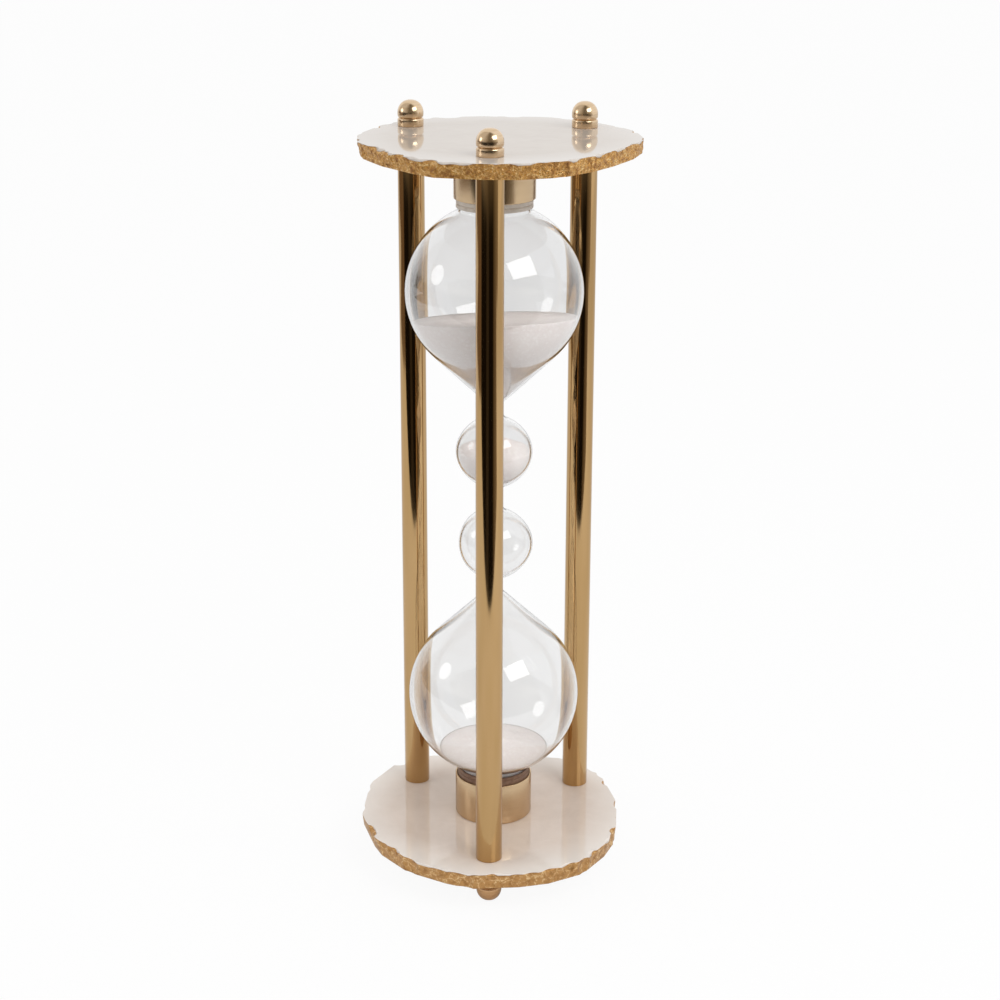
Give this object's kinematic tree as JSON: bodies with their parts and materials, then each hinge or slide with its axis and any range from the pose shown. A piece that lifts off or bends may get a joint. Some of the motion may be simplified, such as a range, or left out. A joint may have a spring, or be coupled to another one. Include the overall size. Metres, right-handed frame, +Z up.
{
  "type": "hourglass",
  "caption": "Decorative hourglass: a chambered blown glass vial in brass caps between chipped, gilt-edged stone plates on slim posts, standing on ball feet.",
  "frame": {"origin": "on the vial's axis, on the plane that the three lower ball nuts rest on", "axes": "+Z up along the vial's axis; the front post stands toward -Y, a little to the -X side"},
  "size_m": [0.1057, 0.1081, 0.295],
  "materials": {
    "stone_plate": "polished warm-white alabaster-like stone",
    "gilt_edge": "gold leaf over the chipped rim",
    "champagne_tube": "champagne gold plating, smooth satin-gloss",
    "steel_rod": "threaded steel rod, inside the posts",
    "polished_nut": "turned, polished champagne gold",
    "satin_cap": "spun cap, satin champagne gold",
    "felt_cushion": "pressed felt disc",
    "rubber_gasket": "dark brown ring",
    "clear_glass": "clear blown glass",
    "plug": "moulded stopper",
    "white_sand": "fine off-white sand"
  },
  "bodies": {
    "root": {"top_plate": "stone_plate", "bottom_plate": "stone_plate", "top_plate_gilding": "gilt_edge", "bottom_plate_gilding": "gilt_edge", "front_post": "champagne_tube", "left_post": "champagne_tube", "right_post": "champagne_tube", "front_tie_rod": "steel_rod", "left_tie_rod": "steel_rod", "right_tie_rod": "steel_rod", "top_front_finial": "polished_nut", "top_left_finial": "polished_nut", "top_right_finial": "polished_nut", "bottom_front_finial": "polished_nut", "bottom_left_finial": "polished_nut", "bottom_right_finial": "polished_nut", "top_cap": "satin_cap", "bottom_cap": "satin_cap", "top_cushion": "felt_cushion", "bottom_cushion": "felt_cushion", "top_gasket": "rubber_gasket", "bottom_gasket": "rubber_gasket", "glass_vial": "clear_glass", "filling_plug": "plug", "upper_sand": "white_sand", "middle_sand": "white_sand", "lower_sand": "white_sand"}
  },
  "joints": []
}
